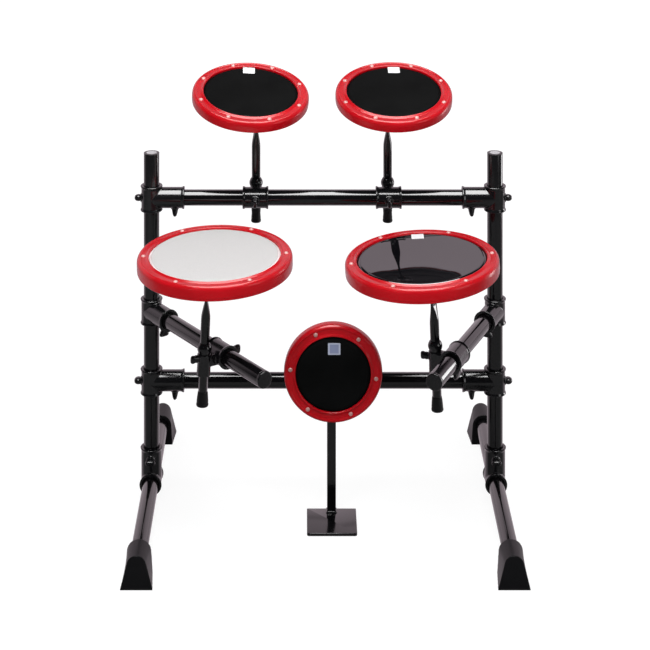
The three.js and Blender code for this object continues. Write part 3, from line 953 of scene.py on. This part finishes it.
def pad_size(name):
    """The hoop's radius and the height of its top."""
    place = pad_frame(name).inverted()
    points = [place @ v.co for v in frame["nodes"][f"hoop_{name}"].data.vertices]
    return max(math.hypot(p.x, p.y) for p in points) / MM, max(p.z for p in points) / MM


def base_mesh(radius, top):
    """A moulded dish: a boss in the middle, a recessed ring with a rib, then the rim."""
    side = radius - HOOP_WALL - 0.4
    rib = side * 0.66
    high = top - 9.6
    corners = [
        (0, 0, 0), (40, 0, 1), (43, 3, 1.5), (rib, 3, 0.8), (rib + 1.2, 1.2, 0.6),
        (rib + 3.6, 1.2, 0.6), (rib + 4.8, 3, 0.8), (side - 15, 3, 1.5), (side - 12, 0.4, 1),
        (side - 8, 0.2, 2), (side, 4, 2), (side, high, 1), (0, high, 0),
    ]
    return finished("pad_base", lathe(rounded(corners), 128), finishes["base"])


def hoop_mesh(radius, top):
    """The red hoop: a bead, a channel for the screws, an outer ridge, a shoulder and a tall wall."""
    inner = radius - HOOP_WIDTH
    floor = top - SCREW_DEPTH
    corners = [
        (inner, top - 6, 0.5), (inner, top - 1.6, 1.0), (inner + 1.6, top - 0.1, 1.1),
        (inner + 4, top - 1.6, 1.2), (inner + 6.5, floor, 1.2), (radius - 8.5, floor, 1.0),
        (radius - 6.8, top - 1.9, 1.2), (radius - 4, top - 2.6, 1.6), (radius - 0.6, top - 6.4, 2.6),
        (radius, top - 11, 2.4), (radius, 7.5, 0.4), (radius - 0.5, 7, 0.4), (radius - 0.3, 3.2, 1.0),
        (radius - 1.6, 2, 0.8), (radius - HOOP_WALL, 2, 0.8), (radius - HOOP_WALL, top - 6, 0.8),
    ]
    return finished("hoop", lathe(rounded(corners, 5), 144, closed=True), finishes["hoop"])


def head_mesh(radius, top, finish):
    """The head's crown stands inside the hoop with a gap and rolls over into its collar."""
    inner = radius - HOOP_WIDTH
    crown = top - 1.9
    corners = [
        (0, crown + 0.2, 0), (inner * 0.6, crown + 0.15, 8), (inner - 6, crown, 3.5),
        (inner - 1.3, crown - 3.2, 1.6), (inner - 0.9, top - 6.2, 0.6), (radius - 7, top - 6.4, 0),
        (radius - 7, top - 9, 0), (0, top - 9, 0),
    ]
    return finished("head", lathe(rounded(corners, 6), 128), finish)


def hoop_screw_mesh():
    """A pan-head tension screw on a washer, with a cross recess."""
    washer = cylinder(4.3, -0.5, 0.6, 40, 0.2)
    top = lathe(rounded([(0, 0, 0), (3.8, 0, 0.2), (3.8, 1.4, 0.5), (2.5, 2.3, 0.5), (0, 2.6, 0)]), 40)
    arms = [block((4.4, 1, 1.4), (0, 0, 2.6), 0), block((1, 4.4, 1.4), (0, 0, 2.6), 0)]
    return moulding("hoop_screw", [top, washer], arms, finishes["steel"], grid=0.25, passes=2)


def label_mesh(finish):
    """A blank sticker with rounded corners."""
    x, y = (side / 2 for side in LABEL_SIZE)
    outline = rounded([(-x, -y, 1.5), (x, -y, 1.5), (x, y, 1.5), (-x, y, 1.5)])
    return finished("label", plate(outline, 0.3, 0), finish)


def build_screws(name, place, radius, top, screw):
    count, first = SCREWS[name]
    across = place.to_3x3().col[0]
    yaw = 0 if name == "bass" else math.degrees(math.atan2(across.y, across.x))
    seat = shift(radius - SCREW_CIRCLE, 0, top - SCREW_DEPTH)
    for i in range(count):
        at = place @ turn(first - yaw + 360 * i / count, "Z") @ seat
        add(f"hoop_screw_{name}_{i + 1}", screw, at, body_of[f"hoop_{name}"], "steel")


def build_label(name, place, radius, top):
    """The sticker lies near the head's far edge, square to the room rather than to the rod."""
    across, inset = LABELS[name]
    facing = axes_at(place.translation, X, place.to_3x3().col[2])
    at = facing @ shift(across, radius - HOOP_WIDTH - inset, top - HEAD_DROP)
    finish = finishes["printed_label" if name == "bass" else "label"]
    add(f"label_{name}", label_mesh(finish), at, body_of[f"head_{name}"], slot_of[f"head_{name}"])


def build_pads():
    screw = hoop_screw_mesh()
    for name in SCREWS:
        place = pad_frame(name)
        radius, top = pad_size(name)
        stand_for(f"base_{name}", base_mesh(radius, top), place)
        stand_for(f"hoop_{name}", hoop_mesh(radius, top), place)
        stand_for(f"head_{name}", head_mesh(radius, top, finishes[slot_of[f"head_{name}"]]), place)
        build_screws(name, place, radius, top, screw)
        if name in LABELS:
            build_label(name, place, radius, top)


# ---- bass tower ----


def post_mesh(low, high):
    """A square tube with softened corners, on a weld bead."""
    half = POST_HALF
    outline = rounded([(-half, -half, 2), (half, -half, 2), (half, half, 2), (-half, half, 2)])
    tube = moved(plate(outline, high - low, 0.3), shift(0, 0, (low + high) / 2))
    bead = ((-0.3, half + 2.6), (1.4, half + 1.6), (3, half))
    weld = loft([(low + rise, reach, reach, 6) for rise, reach in bead])
    return finished("post", merged(tube, weld), finishes["enamel"])


def floor_plate_mesh(size):
    x, y = size.x / 2, size.y / 2
    outline = rounded([(-x, -y, 5), (x, -y, 5), (x, y, 2), (-x, y, 2)])
    return finished("floor_plate", plate(outline, size.z, 0.8), finishes["enamel"])


def bar_clamp_mesh(reach):
    """A sleeve on X with a block out to a channel for the post, which stands at y = -reach."""
    grip = moved(sleeve(-COLLAR_HALF, COLLAR_HALF), turn(90, "Y"))
    saddle = block((30, reach - 8, 32), (0, -(reach + 24) / 2 + 4, 0), 2)
    channel = block((2 * POST_HALF + 1.2, 2 * POST_HALF + 2.6, 40), (0, -reach, 0), 0)
    bore = moved(cylinder(CLAMP_BORE_R, -40, 40, 64), turn(90, "Y"))
    return moulding("bar_clamp", [grip, saddle], [bore, channel], finishes["moulding"])


def build_tower():
    low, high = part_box("bass_post")
    post, bar = centre("bass_post"), centre("lower_bar")
    foot = Matrix.Translation((post.x, post.y, 0))
    stand_for("bass_post", post_mesh(low.z / MM, high.z / MM), foot)
    low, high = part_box("bass_plate")
    sheet = floor_plate_mesh((high - low) / MM)
    stand_for("bass_plate", sheet, Matrix.Translation(centre("bass_plate")))
    clamp = bar_clamp_mesh((bar.y - post.y) / MM)
    stand_for("bass_bar_clamp", clamp, Matrix.Translation((post.x, bar.y, bar.z)))


# ---- stage ----


def light_world():
    """White to the camera, even fill for matte surfaces, and a backdrop seen only in reflections."""
    world = bpy.data.worlds.new("studio")
    bpy.context.scene.world = world
    world.use_nodes = True
    n = Nodes(world.node_tree)
    across, away, up = n.split(n.new("ShaderNodeTexCoord").outputs["Generated"])
    behind = n.remap(away, 0.05, 0.35)
    wall = n.product(behind, n.remap(up, -0.02, 0.04), n.remap(up, 0.60, 0.48))
    middle = n.remap(n.math("ABSOLUTE", across, 0), 0.42, 0.34)
    panel = n.product(behind, middle, n.remap(up, 0.50, 0.56), n.remap(up, 0.76, 0.70))
    mirrored = n.mix(n.math("MAXIMUM", wall, panel), (0.02, 0.02, 0.022), (0.95, 0.80, 0.88))
    unseen = n.mix(n.light_path("Is Glossy Ray"), (0.5, 0.5, 0.51), mirrored)
    seen = n.mix(n.light_path("Is Camera Ray"), unseen, (1.0, 1.0, 1.0))
    n.link(seen, n.tree.nodes["Background"].inputs["Color"])


def soft_box(name, place, target, size, power, glossy=True, diffuse=True):
    data = bpy.data.lights.new(name, "AREA")
    data.shape = "RECTANGLE"
    data.size, data.size_y = size
    data.energy = power
    lamp = bpy.data.objects.new(name, data)
    bpy.context.scene.collection.objects.link(lamp)
    lamp.location = place
    lamp.rotation_euler = (target - lamp.location).to_track_quat("-Z", "Y").to_euler()
    lamp.visible_glossy = glossy
    lamp.visible_diffuse = diffuse


def light_set():
    low, high = cad_box
    middle = (low + high) / 2
    soft_box("overhead_shine", middle + Vector((0, -0.45, 2.2)), middle, (2.0, 1.8), 160, diffuse=False)
    soft_box("overhead", middle + Vector((0, -0.95, 2.1)), middle, (1.3, 0.95), 42, glossy=False)
    soft_box("front_fill", middle + Vector((-1.6, -2.6, 0.7)), middle, (1.2, 1.2), 24, glossy=False)
    soft_box("side_shine", middle + Vector((2.3, 0.75, -0.25)), middle, (0.5, 1.6), 20, diffuse=False)
    soft_box("right_fill", middle + Vector((2.2, -1.6, 0.5)), middle, (1.0, 1.4), 9)


def floor_material():
    """Pale floor: an even glow to the camera with soft shadows, and lit beyond the set in reflections."""
    material = bpy.data.materials.new("floor")
    material.use_nodes = True
    n = Nodes(material.node_tree)
    n.tree.nodes.clear()
    matte = n.new("ShaderNodeBsdfDiffuse")
    matte.inputs["Color"].default_value = (0.2, 0.2, 0.2, 1)
    _, back, _ = n.split(n.new("ShaderNodeNewGeometry").outputs["Incoming"])
    beyond = n.math("MULTIPLY", n.remap(back, 0.0, -0.25), n.light_path("Is Glossy Ray"))
    unseen = n.mix(beyond, (0.0, 0.0, 0.0), (0.54, 0.45, 0.50))
    reach = n.new("ShaderNodeVectorMath", operation="LENGTH")
    n.link(n.new("ShaderNodeTexCoord").outputs["Object"], reach.inputs[0])
    seen = n.mix(n.remap(reach.outputs["Value"], 1.0, 3.5), (0.88, 0.88, 0.88), (1.0, 1.0, 1.0))
    glow = n.new("ShaderNodeEmission")
    n.link(n.mix(n.light_path("Is Camera Ray"), unseen, seen), glow.inputs["Color"])
    both = n.new("ShaderNodeAddShader")
    n.link(matte.outputs[0], both.inputs[0])
    n.link(glow.outputs[0], both.inputs[1])
    n.link(both.outputs[0], n.new("ShaderNodeOutputMaterial").inputs["Surface"])
    return material


def build_floor():
    shape = bmesh.new()
    bmesh.ops.create_grid(shape, x_segments=1, y_segments=1, size=15)
    floor = bpy.data.objects.new("floor", finished("floor", shape, floor_material()))
    bpy.context.scene.collection.objects.link(floor)
    floor.location.z = -0.0005


def build_camera():
    """The main view: a level camera whose lens shift looks down, dropped at any other height."""
    data = bpy.data.cameras.new("camera")
    data.lens = CAMERA_LENS
    camera = bpy.data.objects.new("camera", data)
    bpy.context.scene.collection.objects.link(camera)
    camera.location = CAMERA_PLACE
    camera.rotation_euler = (math.radians(90), 0, 0)
    bpy.context.scene.camera = camera
    for path, amount in zip(("shift_x", "shift_y"), CAMERA_SHIFT):
        driver = data.driver_add(path).driver
        height = driver.variables.new()
        height.name = "height"
        height.type = "TRANSFORMS"
        height.targets[0].id = camera
        height.targets[0].transform_type = "LOC_Z"
        driver.expression = f"{amount} if abs(height - {CAMERA_PLACE.z}) < 0.0001 else 0.0"


# ---- the whole set ----

arm_slides = {"left": "snare_clamp_slide", "right": "floor_clamp_slide"}
arm_of = {"snare": "left", "floor": "right"}
leg_height = centre("leg_tube_left").z / MM
finishes = make_finishes((pad_size("snare")[0] - HOOP_WIDTH) * MM)

build_tubes()
build_clamps()
build_plugs()
build_boots()
build_rods()
build_pads()
build_tower()
build_floor()
light_world()
light_set()
build_camera()
bpy.context.scene.view_settings.view_transform = "Standard"
